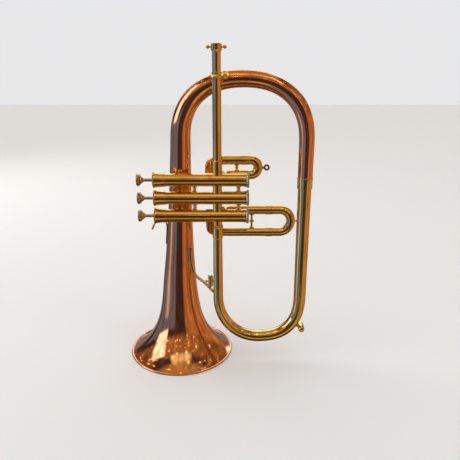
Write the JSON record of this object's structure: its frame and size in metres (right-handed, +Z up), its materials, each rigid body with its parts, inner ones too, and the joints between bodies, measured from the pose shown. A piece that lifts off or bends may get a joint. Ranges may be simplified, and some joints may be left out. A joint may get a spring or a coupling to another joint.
{
  "type": "flugelhorn",
  "caption": "Flugelhorn standing on its copper bell: wide copper bow, brass piston valves lying across it, pull slides, locking mouthpipe, finger hook and a push water key.",
  "frame": {"origin": "centre of the bell's rim plane", "axes": "+X from the bell towards the far leg of the bow, +Y from the valves towards the slides, +Z up the bell"},
  "size_m": [0.2607, 0.152, 0.4381],
  "materials": {
    "copper": "polished lacquered red brass",
    "yellow_brass": "polished lacquered yellow brass",
    "pale_brass": "polished lacquered yellow brass, a little paler",
    "cap_nickel": "polished nickel silver",
    "valve_steel": "honed nickel plate",
    "spring_steel": "drawn wire"
  },
  "bodies": {
    "horn": {"bell_flare": "copper", "bell_stem": "copper", "bell_rim_wire": "copper", "bell_bow": "copper", "bell_ferrule": "pale_brass", "main_tube": "pale_brass", "outlet_ferrule": "yellow_brass", "inlet_ferrule": "yellow_brass", "leadpipe_sleeve": "pale_brass", "leadpipe_brace": "yellow_brass", "valve_casing_1": "yellow_brass", "valve_casing_2": "yellow_brass", "valve_casing_3": "yellow_brass", "knuckle_12": "yellow_brass", "knuckle_23": "yellow_brass", "spools_12": "yellow_brass", "spools_23": "yellow_brass", "top_cap_1": "yellow_brass", "top_cap_2": "yellow_brass", "top_cap_3": "yellow_brass", "bottom_cap_1": "cap_nickel", "bottom_cap_2": "cap_nickel", "bottom_cap_3": "cap_nickel", "piston_spring_1": "spring_steel", "piston_spring_2": "spring_steel", "piston_spring_3": "spring_steel", "first_sleeve_upper": "yellow_brass", "first_sleeve_lower": "yellow_brass", "first_slide_brace": "yellow_brass", "second_sleeves": "yellow_brass", "third_sleeve_upper": "yellow_brass", "third_sleeve_lower": "yellow_brass", "third_slide_brace": "yellow_brass", "bell_stays": "yellow_brass", "s_brace": "pale_brass", "lyre_socket": "pale_brass", "pinky_hook": "yellow_brass", "water_key_body": "yellow_brass", "water_key_spring": "spring_steel"},
    "valve_1": {"piston_1": "valve_steel", "stem_1": "valve_steel", "button_1": "yellow_brass"},
    "valve_2": {"piston_2": "valve_steel", "stem_2": "valve_steel", "button_2": "yellow_brass"},
    "valve_3": {"piston_3": "valve_steel", "stem_3": "valve_steel", "button_3": "yellow_brass"},
    "first_slide": {"first_crook": "yellow_brass", "first_pull_ring": "yellow_brass"},
    "second_slide": {"second_crook": "yellow_brass", "second_knob": "yellow_brass"},
    "third_slide": {"third_crook": "yellow_brass", "third_knob": "yellow_brass"},
    "mouthpipe": {"mouthpipe": "pale_brass"},
    "lock_nut": {"lock_nut": "yellow_brass", "lock_handles": "yellow_brass"},
    "lyre_screw": {"lyre_screw": "pale_brass"},
    "water_key": {"water_key_plunger": "yellow_brass"}
  },
  "joints": [
    {"name": "valve_1_press", "type": "slide", "parent": "horn", "child": "valve_1", "axis": [1, 0, 0], "range_m": [0, 0.012], "stiffness_N_per_m": 120, "springref_m": -0.01, "deforming": ["piston_spring_1"]},
    {"name": "valve_2_press", "type": "slide", "parent": "horn", "child": "valve_2", "axis": [1, 0, 0], "range_m": [0, 0.012], "stiffness_N_per_m": 120, "springref_m": -0.01, "deforming": ["piston_spring_2"]},
    {"name": "valve_3_press", "type": "slide", "parent": "horn", "child": "valve_3", "axis": [1, 0, 0], "range_m": [0, 0.012], "stiffness_N_per_m": 120, "springref_m": -0.01, "deforming": ["piston_spring_3"]},
    {"name": "first_slide_pull", "type": "slide", "parent": "horn", "child": "first_slide", "axis": [1, 0, 0], "range_m": [0, 0.014]},
    {"name": "second_slide_pull", "type": "slide", "parent": "horn", "child": "second_slide", "axis": [0, 0.9781, -0.2079], "range_m": [0, 0.012]},
    {"name": "third_slide_pull", "type": "slide", "parent": "horn", "child": "third_slide", "axis": [1, 0, 0], "range_m": [0, 0.03]},
    {"name": "mouthpipe_tune", "type": "slide", "parent": "horn", "child": "mouthpipe", "axis": [0, 0, 1], "range_m": [0, 0.022]},
    {"name": "lock_nut_turn", "type": "hinge", "parent": "horn", "child": "lock_nut", "pos_m": [0.057, -0.03, 0.434], "axis": [0, 0, 1], "range_deg": [-90, 90]},
    {"name": "lyre_screw_turn", "type": "hinge", "parent": "horn", "child": "lyre_screw", "pos_m": [0.0404, -0.03, 0.124], "axis": [1, 0, 0], "range_deg": [-180, 180]},
    {"name": "water_key_press", "type": "slide", "parent": "horn", "child": "water_key", "axis": [0, 1, 0], "range_m": [0, 0.0025], "stiffness_N_per_m": 300, "springref_m": -0.002, "deforming": ["water_key_spring"]}
  ]
}
